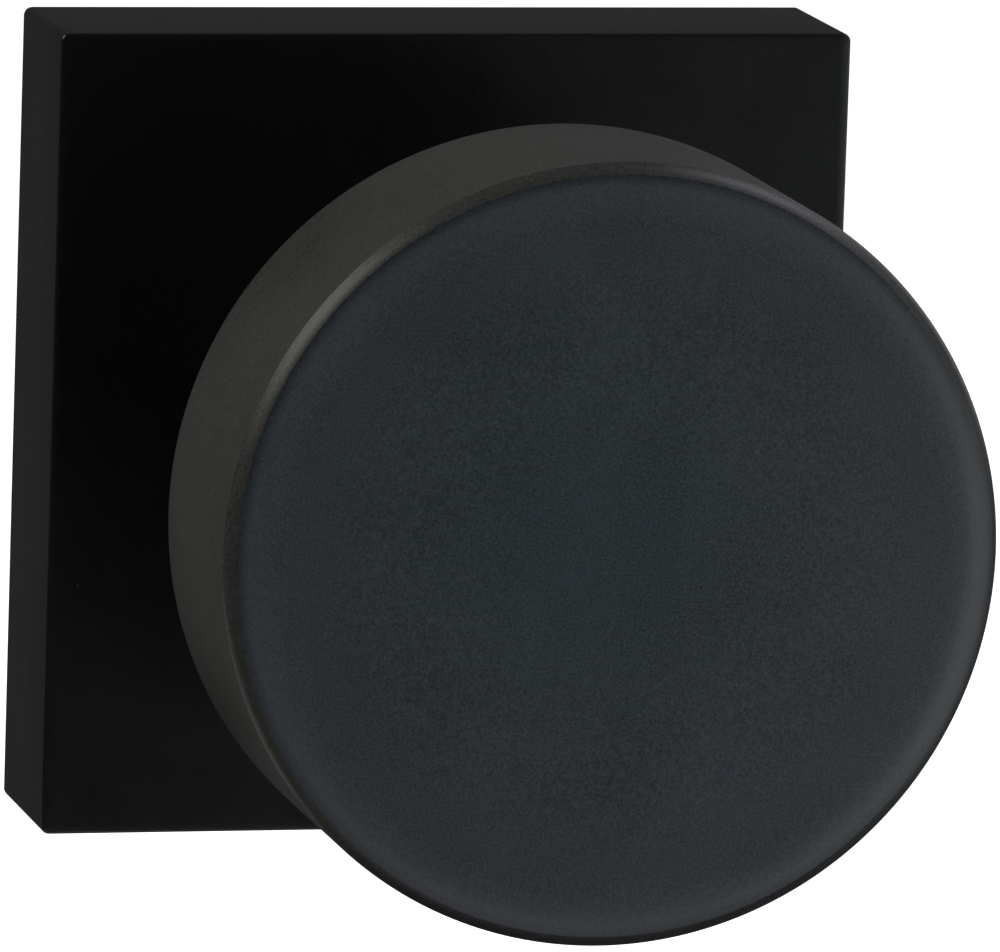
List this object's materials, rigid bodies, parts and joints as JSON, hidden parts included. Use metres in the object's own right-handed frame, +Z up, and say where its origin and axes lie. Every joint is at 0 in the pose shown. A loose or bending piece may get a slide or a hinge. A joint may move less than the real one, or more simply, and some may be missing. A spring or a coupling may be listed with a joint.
{
  "type": "door knob",
  "caption": "Matte black puck-shaped door knob on a square rosette, with a sprung turning hub, square spindle and through bolts.",
  "frame": {"origin": "on the spindle's axis, in the plane where the rosette meets the door's face", "axes": "+Y runs along the spindle into the door, so the knob stands out towards -Y; +Z is up and +X is to the right for a person facing the knob"},
  "size_m": [0.0666, 0.1244, 0.0666],
  "materials": {
    "coating": "satin",
    "zinc_casting": "satin",
    "plated_steel": "satin",
    "spring_steel": "satin",
    "black_steel": "satin",
    "brass": "satin",
    "nylon": "matte"
  },
  "bodies": {
    "rose": {"rosette_cover": "coating", "mounting_plate": "zinc_casting", "neck_bush": "nylon", "spring_housing": "zinc_casting", "housing_lid": "plated_steel", "lid_screw_1": "plated_steel", "lid_screw_2": "plated_steel", "lid_screw_3": "plated_steel", "lid_screw_4": "plated_steel", "return_spring": "spring_steel", "wave_washer": "spring_steel", "through_bolt_left": "plated_steel", "through_bolt_right": "plated_steel", "bolt_washer_left": "plated_steel", "bolt_washer_right": "plated_steel", "rosette_grub_screw": "black_steel"},
    "knob": {"knob_shell": "coating", "knob_back_plate": "coating", "knob_neck": "coating", "spindle_socket": "brass", "neck_set_screw": "black_steel", "retaining_ring": "spring_steel", "drive_hub": "zinc_casting", "spindle": "plated_steel"}
  },
  "joints": [
    {"name": "knob_turn", "type": "hinge", "parent": "rose", "child": "knob", "pos_m": [0, 0, 0], "axis": [0, 1, 0], "range_deg": [-60, 60], "stiffness_Nm_per_rad": 0.118, "deforming": ["return_spring"]}
  ]
}
